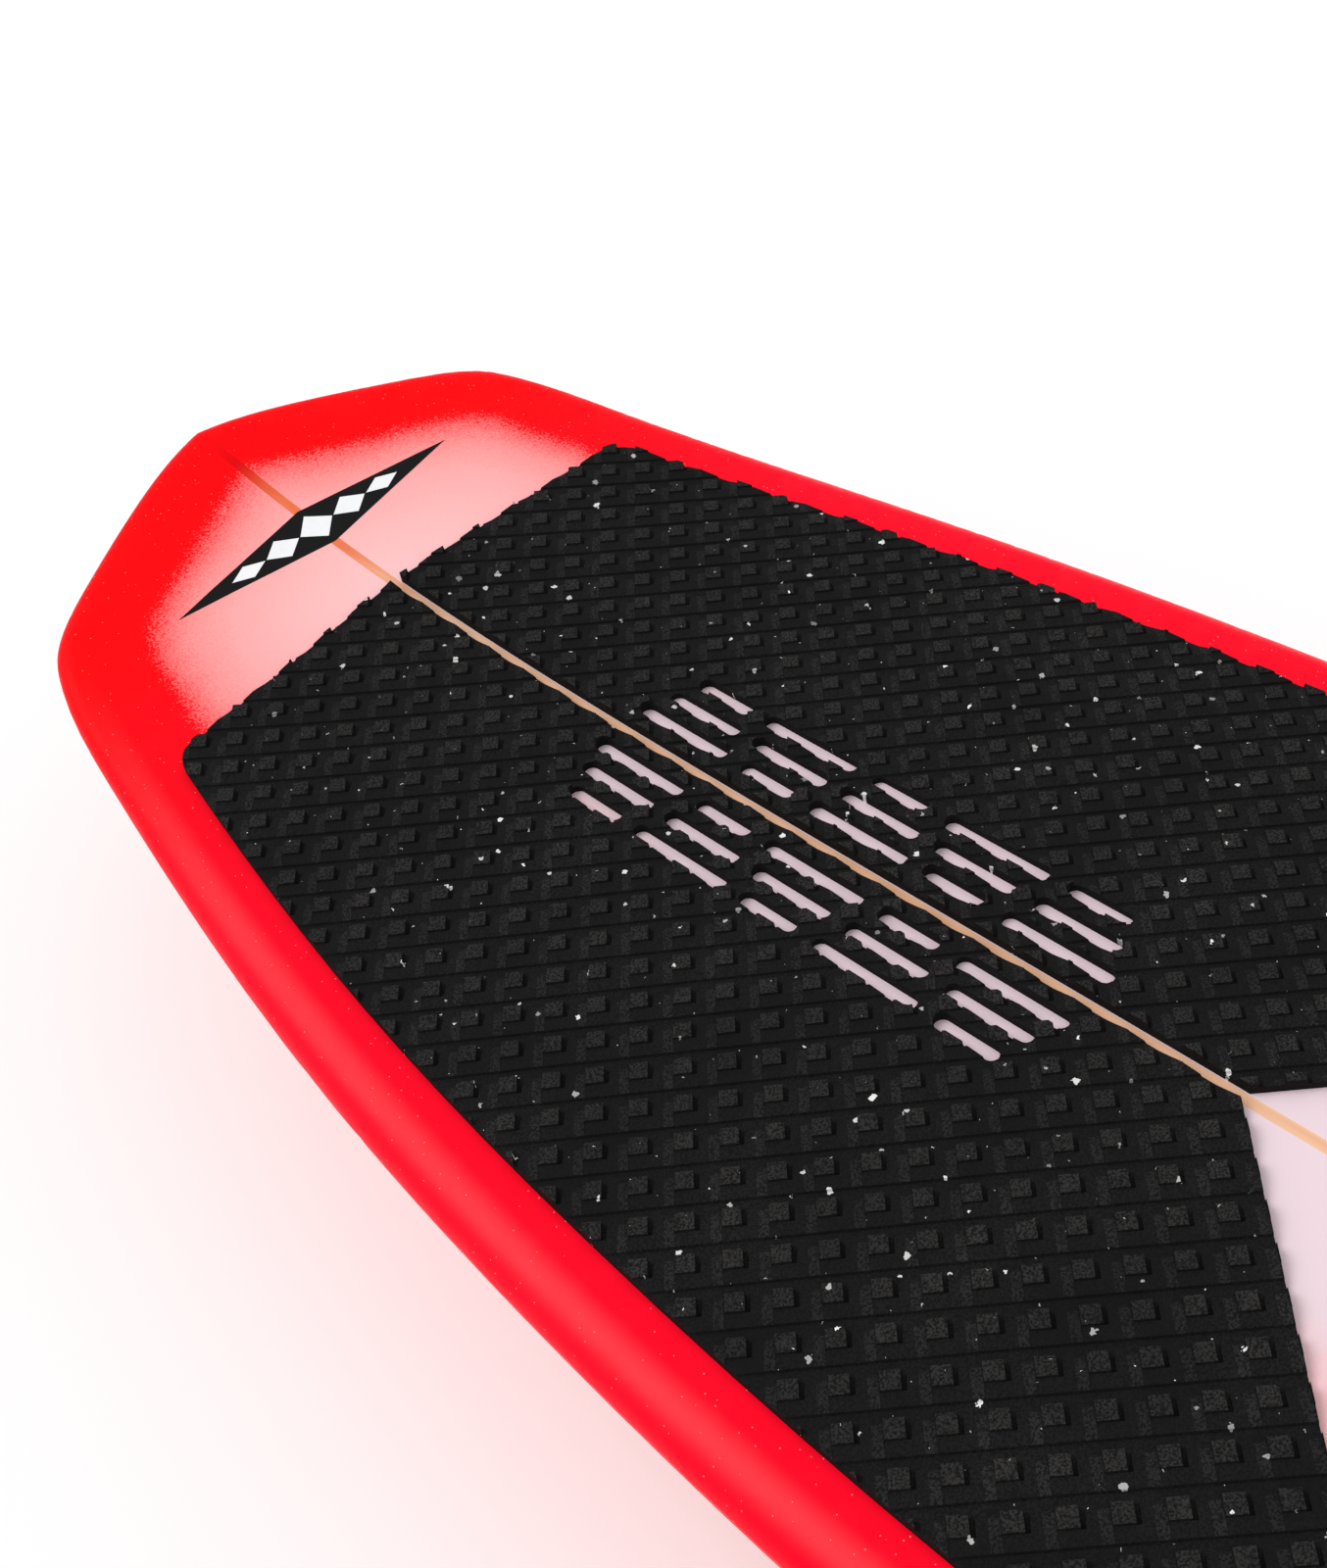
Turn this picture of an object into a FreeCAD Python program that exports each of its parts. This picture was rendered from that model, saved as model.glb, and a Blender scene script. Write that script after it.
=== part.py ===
"""Short deck-padded water board: foam core, wood stringer, glass skins, EVA pads, three fins, leash plug.

Frame, in millimetres: +Y runs along the stringer to the nose, +X to the rider's right, +Z up.
The origin is at the bottom centre of the whole board: mid length, on the stringer, level with the
lowest fin tip.
"""
import FreeCAD, Part
import math
import os
from FreeCAD import Placement, Rotation, Vector

os.makedirs("parts", exist_ok=True)
doc = FreeCAD.newDocument("board")

# --- driving dimensions ------------------------------------------------------------------------
DIMENSIONS = {
    # hull
    "board_length": 1380, "core_thickness": 36, "nose_thickness": 9, "tail_thickness": 14,
    "thick_point": -40, "low_point": -60, "nose_rocker": 66, "tail_rocker": 28,
    "nose_kick_power": 4.5, "tail_kick_power": 2.6, "thinning_power": 2.5,
    "deck_crown": 7, "crown_half_width": 235, "apex_ratio": 0.55,
    "rail_top_radius": 15, "rail_low_radius": 12, "rail_end_radius": 5,
    "skin_thickness": 1.0, "glue_gap": 0.05, "stringer_width": 4.9, "stringer_clear": 0.7,
    # deck pads
    "pad_thickness": 6, "pad_gap": 6, "pad_margin": 32.5, "pad_corner": 14,
    "pad_front_centre": 530, "pad_front_corner": 520, "pad_rear_centre": 40,
    "tail_pad_front": -70, "tail_pad_rear": -566,
    "kick_front": -568, "kick_rear": -616, "kick_height": 24, "kick_half_width": 108,
    "kick_crest": 12, "kick_rounding": 5, "kick_corner": 8,
    # drain slots
    "slot_width": 7.5, "slot_long": 53.8, "slot_step": 11.3, "slot_first": 343,
    "slot_group_pitch": 51.9, "slot_inner": 14.2, "slot_row_pitch": 13.8,
    "slot_groups": 5, "slot_rows": 3,
    # fins and plugs
    "fin_base": 112, "fin_depth": 112, "fin_thickness": 6.5, "fin_sweep": 68, "fin_clear": 0.35,
    "chord_power": 2.4, "chord_taper": 0.25, "sweep_power": 1.5, "lead_share": 0.34,
    "tip_thinning": 0.55, "least_chord_share": 0.25, "chord_thinning": 0.4, "inner_bulge": 0.35,
    "tab_length": 24.5, "tab_width": 6, "tab_height": 12.2, "tab_pitch": 71.5, "tab_clear": 0.2,
    "tab_root": 3, "plug_radius": 14.5, "plug_depth": 14, "plug_slot_depth": 12.9, "overcut": 5,
    "screw_radius": 2.42, "screw_bore": 2.5, "screw_length": 7, "screw_tilt": 30, "bore_lead": 2,
    "screw_tip_side": 5.4, "screw_tip_depth": 8, "hex_across_corners": 2.9, "hex_depth": 2.6,
    "side_fin_x": 158, "side_fin_y": -430, "centre_fin_y": -556, "fin_cant": 5, "fin_toe": 3,
    # leash plug
    "cup_radius": 14, "cup_bore": 10.5, "cup_depth": 12.5, "cup_floor": 1.5, "cup_proud": 0.8,
    "cup_x": 30, "cup_y": -645, "pin_radius": 1.75, "pin_length": 25, "pin_depth": 4.2,
}

sheet = doc.addObject("Spreadsheet::Sheet", "Dims")
for row, (alias, number) in enumerate(DIMENSIONS.items(), start=1):
    sheet.set(f"A{row}", alias)
    sheet.set(f"B{row}", str(number))
    sheet.setAlias(f"B{row}", alias)
doc.recompute()


def dim(alias):
    """The number that the sheet holds under this alias."""
    return float(sheet.get(alias))


HALF_LENGTH = dim("board_length") / 2
PARTS = []                      # the finished sub-parts, in the order they are made
STATIONS = 100                  # grid lines round half of the outline
NEAR_STATIONS = 12              # how many of them can be the nearest to a point
RAIL_RINGS = 7                  # grid lines round each side of the rail
FLAT_RINGS = 5                  # grid lines from the rail to the stringer
SPINE_RATIO = 0.93              # how far towards each end the grid's centre line reaches
CLOSE_BAND = 1.35               # width of the close grid lines, in rail radii
CLOSE_SHARE = 0.6               # the most of a grid ray that they may take
NEAR_RAIL = 3                   # beyond this many radii the rail's rounding is long past
EDGE_PLACES = 8                 # spans of a pad's outer edge
SETTLING_ROUNDS = 20            # rounds that bring a chevron's end to rest on the outer edge
ABOVE = 200                     # taller than anything on the deck
NEAR = 1                        # how close counts as the same place
STEP = 1.0                      # short way along the board for measuring a slope


# --- helpers -----------------------------------------------------------------------------------
def feature(label, shape, keep=False):
    """A Part::Feature with this shape; a kept one is a sub-part of the board."""
    made = doc.addObject("Part::Feature", label)
    made.Shape = shape
    made.Label = label
    if keep:
        PARTS.append(made)
    return made


def primitive(kind, label, sizes, placement=None):
    """A Part primitive whose sizes are bound to the sheet by expressions."""
    made = doc.addObject(f"Part::{kind}", label)
    made.Label = label
    if placement:
        made.Placement = placement
    for size, expression in sizes.items():
        made.setExpression(size, expression)
    return made


def boolean(kind, label, base, tool):
    """A Part::Cut or Part::Common of two objects."""
    made = doc.addObject(f"Part::{kind}", label)
    made.Label = label
    made.Base = base
    made.Tool = tool
    return made


def mirrored(shape):
    """The same shape on the other side of the stringer."""
    return shape.mirror(Vector(0, 0, 0), Vector(1, 0, 0))


# --- hull form ---------------------------------------------------------------------------------
# Right half of the outline from the nose tip to the tail, as (half width, place along the board).
OUTLINE = [(0, 690), (10, 688), (60, 670), (105, 648), (128, 634.8), (142.4, 622.5),
           (152, 606.5), (171, 545), (188, 469), (203, 393), (215.5, 313), (225, 226),
           (232, 125), (235, 30), (233, -80), (225, -200), (211, -320), (191, -430),
           (166, -530), (147, -590), (132, -632), (121, -654), (103, -668), (70, -677.5),
           (35, -685.5), (0, -690)]


def outline_curve():
    """The right half of the outline as one smooth curve."""
    curve = Part.BSplineCurve()
    curve.interpolate([Vector(x, y, 0) for x, y in OUTLINE])
    return curve


def ramp(y, start, end):
    """0 at start, 1 at end and 0 beyond start, along the board."""
    return max(0.0, (y - start) / (end - start))


def rocker(y):
    """Height of the bottom's centre line above its lowest point."""
    nose = dim("nose_rocker") * ramp(y, dim("low_point"), HALF_LENGTH) ** dim("nose_kick_power")
    tail = dim("tail_rocker") * ramp(y, dim("low_point"), -HALF_LENGTH) ** dim("tail_kick_power")
    return nose + tail


def thickness(y):
    """Thickness of the board on the stringer."""
    full = dim("core_thickness")
    nose = ramp(y, dim("thick_point"), HALF_LENGTH) ** dim("thinning_power")
    tail = ramp(y, dim("thick_point"), -HALF_LENGTH) ** dim("thinning_power")
    return full - (full - dim("nose_thickness")) * nose - (full - dim("tail_thickness")) * tail


def crown(x, y):
    """Fall of the deck from the stringer out to x."""
    ratio = thickness(y) / dim("core_thickness")
    return dim("deck_crown") * ratio ** 2 * (x / dim("crown_half_width")) ** 2


def apex_height(y):
    """Height of the outermost line of the rail."""
    edge = thickness(y) - crown(dim("crown_half_width"), y)
    return rocker(y) + dim("apex_ratio") * edge


def rail_radius(y, alias):
    """Plan width of one side of the rail's rounding, which shrinks towards both ends."""
    ratio = thickness(y) / dim("core_thickness")
    return dim("rail_end_radius") + (dim(alias) - dim("rail_end_radius")) * ratio


def roundness(distance, radius):
    """Quarter-ellipse profile: 0 on the rail's apex, 1 once past the rail's rounding."""
    inside = min(distance / radius, 1.0)
    return math.sqrt(max(0.0, inside * (2.0 - inside)))


def distance_to(point, trail):
    """Shortest plan distance from a point to a run of outline points."""
    best = float("inf")
    for start, end in zip(trail, trail[1:]):
        along = end - start
        share = (point - start).dot(along) / along.dot(along)
        foot = start + along * min(max(share, 0.0), 1.0)
        best = min(best, (point - foot).Length)
    return best


def hull_stations(inset):
    """Evenly spaced points round the right half of the outline, moved inwards by the inset."""
    curve = outline_curve()
    points = []
    for point in curve.toShape().discretize(Number=STATIONS):
        tangent = curve.tangent(curve.parameter(point))[0]
        normal = Vector(tangent.y, -tangent.x, 0).normalize()
        points.append(point + normal * inset)
    points[0].x = 0.0
    points[-1].x = 0.0
    return points


def ray_offsets(length, rounding):
    """Distances from the rail along one grid ray: close together round the rail, then even."""
    band = min(CLOSE_BAND * rounding, CLOSE_SHARE * length)
    turns = [math.pi / 2 * ring / RAIL_RINGS for ring in range(1, RAIL_RINGS + 1)]
    close = [band * (1 - math.cos(turn)) for turn in turns]
    even = [band + (length - band) * ring / FLAT_RINGS for ring in range(1, FLAT_RINGS + 1)]
    return close + even


def hull_row(start, spine, trail, inset):
    """One grid row: from the stringer over the deck, round the rail and back under the bottom."""
    length = (spine - start).Length
    inwards = (spine - start).normalize()
    row = {}
    for side, alias in (("deck", "rail_top_radius"), ("bottom", "rail_low_radius")):
        row[side] = []
        for offset in ray_offsets(length, rail_radius(start.y, alias)):
            plan = start + inwards * offset
            radius = rail_radius(plan.y, alias)
            distance = distance_to(plan, trail) if offset < NEAR_RAIL * radius else offset
            apex = apex_height(plan.y)
            if side == "deck":
                flat = rocker(plan.y) + thickness(plan.y) - crown(plan.x, plan.y) - inset
            else:
                flat = rocker(plan.y) + inset
            height = apex + (flat - apex) * roundness(distance, radius - inset)
            row[side].append(Vector(plan.x, plan.y, height))
    rail = Vector(start.x, start.y, apex_height(start.y))
    return row["deck"][::-1] + [rail] + row["bottom"]


def chord_parameters(rows):
    """Shared parameters along a set of rows: their average share of the way along each row."""
    total = [0.0] * len(rows[0])
    for row in rows:
        travelled = [0.0]
        for start, end in zip(row, row[1:]):
            travelled.append(travelled[-1] + (end - start).Length)
        for index, distance in enumerate(travelled):
            total[index] += distance / travelled[-1] / len(rows)
    return total


def curve_through(points, parameters):
    """Cubic curve through the points at these parameters."""
    curve = Part.BSplineCurve()
    curve.interpolate(Points=points, Parameters=parameters)
    return curve


def surface_through(rows):
    """Cubic surface through a grid of points, and its parameter on the rail's apex."""
    across = chord_parameters(rows)
    along = [index / (len(rows) - 1) for index in range(len(rows))]
    row_curves = [curve_through(row, across) for row in rows]
    columns = [curve_through(list(column), along)
               for column in zip(*(curve.getPoles() for curve in row_curves))]
    poles = [list(line) for line in zip(*(column.getPoles() for column in columns))]
    surface = Part.BSplineSurface()
    surface.buildFromPolesMultsKnots(
        poles, columns[0].getMultiplicities(), row_curves[0].getMultiplicities(),
        columns[0].getKnots(), row_curves[0].getKnots(), False, False, 3, 3)
    return surface, across[len(across) // 2]


def hull_surface(inset, inner_x=0.0):
    """Right half of the hull form, smaller all round by the inset, ending at inner_x."""
    trail = hull_stations(inset)
    rows = []
    for index, start in enumerate(trail):
        spine = Vector(inner_x, HALF_LENGTH * SPINE_RATIO * (1 - 2 * index / (STATIONS - 1)), 0)
        near = trail[max(0, index - NEAR_STATIONS):index + NEAR_STATIONS]
        rows.append(hull_row(start, spine, near, inset))
    for point in rows[0] + rows[-1]:
        point.x = inner_x
    return surface_through(rows)


def closed(faces):
    """The solid that these faces enclose."""
    shell = Part.Shell(faces)
    if not shell.isClosed():
        shell = Part.makeShell(faces)
        shell.sewShape()
    solid = Part.Solid(shell)
    if solid.Volume < 0:
        solid.reverse()
    return solid


def section_face(skin):
    """Flat face that closes a half hull along the stringer."""
    return Part.Face(Part.Wire(Part.__sortEdges__(skin.Edges)))


def foam_half():
    """Right half of the foam core, up to the stringer."""
    inset = dim("skin_thickness") + dim("glue_gap")
    skin = hull_surface(inset, dim("stringer_width") / 2 + dim("glue_gap"))[0].toShape()
    return closed([skin, section_face(skin)])


def stringer_strip():
    """Wood strip cut to the long section of the board, clear of the skins."""
    inset = dim("skin_thickness") + dim("stringer_clear")
    face = section_face(hull_surface(inset)[0].toShape())
    face.translate(Vector(-dim("stringer_width") / 2, 0, 0))
    return face.extrude(Vector(dim("stringer_width"), 0, 0))


def whole_hull():
    """The hull's outer form as one solid."""
    skin = hull_surface(0)[0].toShape()
    return closed([skin, mirrored(skin)])


def half_skin(surface, apex, upper):
    """The part of a hull surface above or below the rail's apex."""
    piece = surface.copy()
    u_low, u_high, v_low, v_high = surface.bounds()
    piece.segment(u_low, u_high, v_low if upper else apex, apex if upper else v_high)
    return piece


def laminate(upper):
    """Glass skin over the deck or under the bottom, out to the rail's apex on both sides."""
    shells = []
    for inset in (0, dim("skin_thickness")):
        surface, apex = hull_surface(inset)
        shells.append(half_skin(surface, apex, upper))
    rims = []
    for piece in shells:
        v_low, v_high = piece.bounds()[2:]
        rims.append(piece.vIso(v_high if upper else v_low).toShape())
    faces = [piece.toShape() for piece in shells] + [Part.makeRuledSurface(*rims)]
    return closed(faces + [mirrored(face) for face in faces])


def half_width(y):
    """Half width of the outline at y."""
    across = Part.Line(Vector(0, y, 0), Vector(1, y, 0))
    return max(point.X for point in outline_curve().intersect(across))


def top_height(x, y):
    """Height of the deck's skin away from the rail."""
    return rocker(y) + thickness(y) - crown(x, y)


# --- fin and leash places ----------------------------------------------------------------------
def fin_placement(x, y, side):
    """Where a fin's frame sits: on the bottom, toed in and leaning out for a side fin."""
    pitch = math.degrees(math.atan2(rocker(y + STEP) - rocker(y - STEP), 2 * STEP))
    lean = Rotation(Vector(0, 1, 0), -side * dim("fin_cant"))
    toe = Rotation(Vector(0, 0, 1), side * dim("fin_toe"))
    return Placement(Vector(x, y, rocker(y)), toe * Rotation(Vector(1, 0, 0), pitch) * lean)


FINS = {"left": (-dim("side_fin_x"), dim("side_fin_y"), -1),
        "right": (dim("side_fin_x"), dim("side_fin_y"), 1),
        "centre": (0.0, dim("centre_fin_y"), 0)}
ENDS = {"front": 1, "rear": -1}


def tab_placement(fin, end):
    """Where one tab, plug and screw of a fin sits."""
    along = Vector(0, ENDS[end] * dim("tab_pitch") / 2, 0)
    return fin_placement(*FINS[fin]) * Placement(along, Rotation())


def cup_placement():
    """Where the leash cup sits, square to the deck."""
    x, y = dim("cup_x"), dim("cup_y")
    rise = top_height(x, y + STEP) - top_height(x, y - STEP)
    pitch = math.degrees(math.atan2(rise, 2 * STEP))
    return Placement(Vector(x, y, top_height(x, y)), Rotation(Vector(1, 0, 0), pitch))


def recess(placement, radius, low, high):
    """A round hole for a plug or cup, a glue gap wider than it."""
    hole = Part.makeCylinder(radius + dim("glue_gap"), high - low, Vector(0, 0, low))
    hole.Placement = placement
    return hole


BEYOND = 2 * dim("overcut")
PLUG_TOP = dim("plug_depth") + dim("glue_gap")
CUP_BOTTOM = -dim("cup_depth") - dim("glue_gap")
PLUG_HOLES = [recess(tab_placement(fin, end), dim("plug_radius"), -BEYOND, PLUG_TOP)
              for fin in FINS for end in ENDS]
CUP_HOLE = recess(cup_placement(), dim("cup_radius"), CUP_BOTTOM, BEYOND)


# --- hull pieces -------------------------------------------------------------------------------
foam = foam_half()
feature("foam_core_right", foam.cut(PLUG_HOLES + [CUP_HOLE]), keep=True)
feature("foam_core_left", mirrored(foam).cut(PLUG_HOLES + [CUP_HOLE]), keep=True)
feature("stringer", stringer_strip().cut(PLUG_HOLES), keep=True)
feature("bottom_laminate", laminate(upper=False).cut(PLUG_HOLES), keep=True)
feature("deck_laminate", laminate(upper=True).cut(CUP_HOLE), keep=True)
hull = feature("hull_form", whole_hull())


# --- deck pads ---------------------------------------------------------------------------------
def above_deck(shape, low, high):
    """The part of a shape between two heights above the deck, or all above the lower one."""
    kept = shape
    if high is not None:
        kept = kept.common(hull.Shape.translated(Vector(0, 0, high)))
    return kept.cut(hull.Shape.translated(Vector(0, 0, low)))


def pad_prism(front_centre, front_edge, rear_centre, rear_edge):
    """Upright prism over one right-hand pad, its outer edge parallel to the rail."""
    inner = dim("pad_gap") / 2
    span = (rear_edge - front_edge) / EDGE_PLACES
    places = [front_edge + span * place for place in range(EDGE_PLACES + 1)]
    edge = [Vector(half_width(y) - dim("pad_margin"), y, 0) for y in places]
    outer = Part.BSplineCurve()
    outer.interpolate(edge)
    front = Vector(inner, front_centre, 0)
    rear = Vector(inner, rear_centre, 0)
    sides = [Part.makeLine(front, edge[0]), outer.toShape(), Part.makeLine(edge[-1], rear),
             Part.makeLine(rear, front)]
    prism = Part.Face(Part.Wire(sides)).extrude(Vector(0, 0, ABOVE))
    corners = [line for line in prism.Edges if abs(line.BoundBox.ZLength - ABOVE) < NEAR
               and line.CenterOfMass.x > 2 * inner]
    return prism.makeFillet(dim("pad_corner"), corners)


def slot(x, y, length):
    """Upright prism for one drain slot with round ends, along the board."""
    radius = dim("slot_width") / 2
    reach = length / 2 - radius
    body = Part.makeBox(2 * radius, 2 * reach, ABOVE, Vector(x - radius, y - reach, 0))
    ends = [Part.makeCylinder(radius, ABOVE, Vector(x, y + side * reach, 0)) for side in (-1, 1)]
    return body.fuse(ends).removeSplitter()


def drain_slots():
    """Groups of slots side by side; the longest changes side from one group to the next."""
    slots = []
    rows = int(dim("slot_rows"))
    for group in range(int(dim("slot_groups"))):
        y = dim("slot_first") - group * dim("slot_group_pitch")
        for row in range(rows):
            shorter = row if group % 2 == 0 else rows - 1 - row
            x = dim("slot_inner") + row * dim("slot_row_pitch")
            slots.append(slot(x, y, dim("slot_long") - shorter * dim("slot_step")))
    return slots


def chevron_end(rear_centre):
    """Where a 45 degree edge that starts beside the stringer meets the pad's outer edge."""
    y = rear_centre
    for _ in range(SETTLING_ROUNDS):
        y = rear_centre - (half_width(y) - dim("pad_margin") - dim("pad_gap") / 2)
    return y


front_prism = pad_prism(dim("pad_front_centre"), dim("pad_front_corner"), dim("pad_rear_centre"),
                        chevron_end(dim("pad_rear_centre"))).cut(drain_slots())
tail_prism = pad_prism(dim("tail_pad_front"), chevron_end(dim("tail_pad_front")),
                       dim("tail_pad_rear"), dim("tail_pad_rear"))
for name, prism in (("front_pad", front_prism), ("tail_pad", tail_prism)):
    pad = above_deck(prism, dim("glue_gap"), dim("glue_gap") + dim("pad_thickness"))
    feature(f"{name}_right", pad, keep=True)
    feature(f"{name}_left", mirrored(pad), keep=True)


def kick_block():
    """Wedge that stops the rear foot: low at the front, high at the back, rounded on top."""
    front = dim("kick_front")
    rear = dim("kick_rear")
    side = dim("kick_half_width")
    floor = top_height(0, rear) - dim("kick_height") / 2
    crest = top_height(0, rear) + dim("kick_height")
    profile = [(front, floor), (front, top_height(0, front) + dim("pad_thickness")),
               (rear + dim("kick_crest"), crest), (rear, crest), (rear, floor)]
    points = [Vector(-side, y, z) for y, z in profile]
    wedge = Part.Face(Part.makePolygon(points + points[:1])).extrude(Vector(2 * side, 0, 0))
    crests = [line for line in wedge.Edges if line.BoundBox.ZMin > crest - NEAR]
    wedge = wedge.makeFillet(dim("kick_rounding"), crests)
    uprights = [line for line in wedge.Edges
                if line.BoundBox.YMin > front - NEAR and line.BoundBox.XLength < NEAR]
    return wedge.makeFillet(dim("kick_corner"), uprights)


feature("tail_kick", above_deck(kick_block(), dim("glue_gap"), None), keep=True)


# --- fin plugs, screws and fins ----------------------------------------------------------------
def screw_frame(side):
    """Axis of a grub screw in its tab's frame, from its tip to its socket, inboard of the fin."""
    inboard = -1 if side > 0 else 1
    tip = Vector(inboard * dim("screw_tip_side"), 0, dim("screw_tip_depth"))
    return Placement(tip, Rotation(Vector(0, 1, 0), 180 - inboard * dim("screw_tilt")))


def fin_plug(name, side, placement):
    """Round plug, flush with the bottom: a slot for the tab and a slanted hole for its screw."""
    blank = primitive("Cylinder", f"{name}_blank", {
        "Radius": "Dims.plug_radius", "Height": "Dims.plug_depth + Dims.overcut",
        "Placement.Base.z": "-Dims.overcut"})
    pocket = primitive("Box", f"{name}_pocket", {
        "Length": "Dims.tab_width + 2 * Dims.tab_clear",
        "Width": "Dims.tab_length + 3 * Dims.tab_clear",
        "Height": "Dims.plug_slot_depth + 2 * Dims.overcut",
        "Placement.Base.x": "-Dims.tab_width / 2 - Dims.tab_clear",
        "Placement.Base.y": "-Dims.tab_length / 2 - 1.5 * Dims.tab_clear",
        "Placement.Base.z": "-2 * Dims.overcut"})
    lead = Placement(Vector(0, 0, -dim("bore_lead")), Rotation())
    bore = primitive("Cylinder", f"{name}_bore", {
        "Radius": "Dims.screw_bore", "Height": "Dims.plug_depth + Dims.overcut"},
        screw_frame(side) * lead)
    slotted = boolean("Cut", f"{name}_slotted", blank, pocket)
    bored = boolean("Cut", f"{name}_bored", slotted, bore)
    bored.Placement = placement
    made = boolean("Common", name, bored, hull)
    PARTS.append(made)


def grub_screw(name, side, placement):
    """Slanted grub screw with a hexagon socket."""
    body = primitive("Cylinder", f"{name}_body", {
        "Radius": "Dims.screw_radius", "Height": "Dims.screw_length"})
    key = primitive("Prism", f"{name}_socket", {
        "Circumradius": "Dims.hex_across_corners / 2", "Height": "Dims.hex_depth + Dims.overcut",
        "Placement.Base.z": "Dims.screw_length - Dims.hex_depth"})
    key.Polygon = 6
    made = boolean("Cut", name, body, key)
    made.Placement = placement * screw_frame(side)
    PARTS.append(made)


# A fin's foil: half its thickness at some places along the chord, both as shares.
FOIL = [(0.02, 0.3), (0.1, 0.68), (0.25, 0.97), (0.45, 0.98), (0.7, 0.62), (0.9, 0.25)]
# How far down the fin its sections lie, as shares of its depth.
FOIL_LEVELS = [0.0, 0.2, 0.4, 0.6, 0.75, 0.87, 0.94, 0.98, 0.995]


def foil(depth_share, inner_share):
    """Closed foil section of a fin at a share of its depth; the inner side can be flatter."""
    base = dim("fin_base")
    roundoff = math.sqrt(max(0.0, 1 - depth_share ** dim("chord_power")))
    chord = base * roundoff * (1 - dim("chord_taper") * depth_share)
    sweep = dim("fin_sweep") * depth_share ** dim("sweep_power")
    lead = base / 2 - sweep - dim("lead_share") * (base - chord)
    slimming = max(dim("least_chord_share"), chord / base) ** dim("chord_thinning")
    half = dim("fin_thickness") / 2 * (1 - dim("tip_thinning") * depth_share) * slimming
    level = -dim("fin_clear") - (dim("fin_depth") - dim("fin_clear")) * depth_share
    outer = [Vector(half * bulge, lead - chord * share, level) for share, bulge in FOIL]
    inner = [Vector(-point.x * inner_share, point.y, level) for point in outer]
    nose = Vector(0, lead, level)
    trail = Vector(0, lead - chord, level)
    curve = Part.BSplineCurve()
    curve.interpolate(Points=[nose] + outer + [trail] + inner[::-1], PeriodicFlag=True)
    return Part.Wire(curve.toShape())


def fin(name, side, placement):
    """Swept fin blade with two tabs."""
    inner_share = dim("inner_bulge") if side else 1.0
    blade = Part.makeLoft([foil(level, inner_share) for level in FOIL_LEVELS], True)
    if side < 0:
        blade = mirrored(blade)
    pieces = [feature(f"{name}_blade", blade)]
    for end, sign in ENDS.items():
        pieces.append(primitive("Box", f"{name}_tab_{end}", {
            "Length": "Dims.tab_width", "Width": "Dims.tab_length",
            "Height": "Dims.tab_height + Dims.tab_root", "Placement.Base.x": "-Dims.tab_width / 2",
            "Placement.Base.y": f"{sign} * Dims.tab_pitch / 2 - Dims.tab_length / 2",
            "Placement.Base.z": "-Dims.tab_root"}))
    made = doc.addObject("Part::MultiFuse", name)
    made.Label = name
    made.Shapes = pieces
    made.Placement = placement
    PARTS.append(made)


for name, (x, y, side) in FINS.items():
    for end in ENDS:
        fin_plug(f"fin_plug_{name}_{end}", side, tab_placement(name, end))
        grub_screw(f"fin_screw_{name}_{end}", side, tab_placement(name, end))
    fin(f"fin_{name}", side, fin_placement(x, y, side))


# --- leash plug --------------------------------------------------------------------------------
def cross_bar(name, radius, spare):
    """Cylinder across the cup, where its pin lies."""
    length = dim("pin_length") + 2 * spare
    start = Placement(Vector(-length / 2, 0, -dim("pin_depth")), Rotation(Vector(0, 1, 0), 90))
    sizes = {"Radius": radius, "Height": f"Dims.pin_length + 2 * {spare}"}
    return primitive("Cylinder", name, sizes, start)


cup_blank = primitive("Cylinder", "cup_blank", {
    "Radius": "Dims.cup_radius", "Height": "Dims.cup_depth + Dims.cup_proud",
    "Placement.Base.z": "-Dims.cup_depth"})
cup_room = primitive("Cylinder", "cup_room", {
    "Radius": "Dims.cup_bore", "Height": "Dims.cup_depth + Dims.overcut",
    "Placement.Base.z": "Dims.cup_floor - Dims.cup_depth"})
cup_open = boolean("Cut", "cup_open", cup_blank, cup_room)
leash_cup = boolean("Cut", "leash_cup", cup_open,
                    cross_bar("cup_eye", "Dims.pin_radius + Dims.glue_gap", dim("glue_gap")))
leash_pin = cross_bar("leash_pin", "Dims.pin_radius", 0)
leash_cup.Placement = cup_placement()
leash_pin.Placement = cup_placement() * leash_pin.Placement
PARTS += [leash_cup, leash_pin]


# --- stand the board on its lowest fin tip, check and write -------------------------------------
doc.recompute()
lift = -min(part.Shape.BoundBox.ZMin for part in PARTS)
raise_up = Placement(Vector(0, 0, lift), Rotation())
for part in PARTS:
    part.Placement = raise_up * part.Placement
doc.recompute()

for made in doc.Objects:
    if "Invalid" in made.State or "Error" in made.State:
        raise RuntimeError(f"{made.Label} did not compute: {made.State}")
for part in PARTS:
    shape = part.Shape
    if shape.isNull() or not shape.isValid() or len(shape.Solids) != 1:
        raise RuntimeError(f"{part.Label} is not one valid solid")
    shape.exportStep(f"parts/{part.Label}.step")
    print(f"{part.Label}: {shape.Volume / 1000:.2f} cm3")

print(f"lift {lift:.3f}")
for fin_name in FINS:
    place = raise_up * fin_placement(*FINS[fin_name])
    print(f"fin_{fin_name}", place.Base, "pulls along", place.Rotation.multVec(Vector(0, 0, -1)))
    for end in ENDS:
        axis = raise_up * tab_placement(fin_name, end) * screw_frame(FINS[fin_name][2])
        print(f"fin_screw_{fin_name}_{end}", axis.Base, "axis", axis.Rotation.multVec(Vector(0, 0, 1)))
cup = raise_up * cup_placement()
print("leash_pin", cup.multVec(Vector(0, 0, -dim("pin_depth"))))
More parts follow.
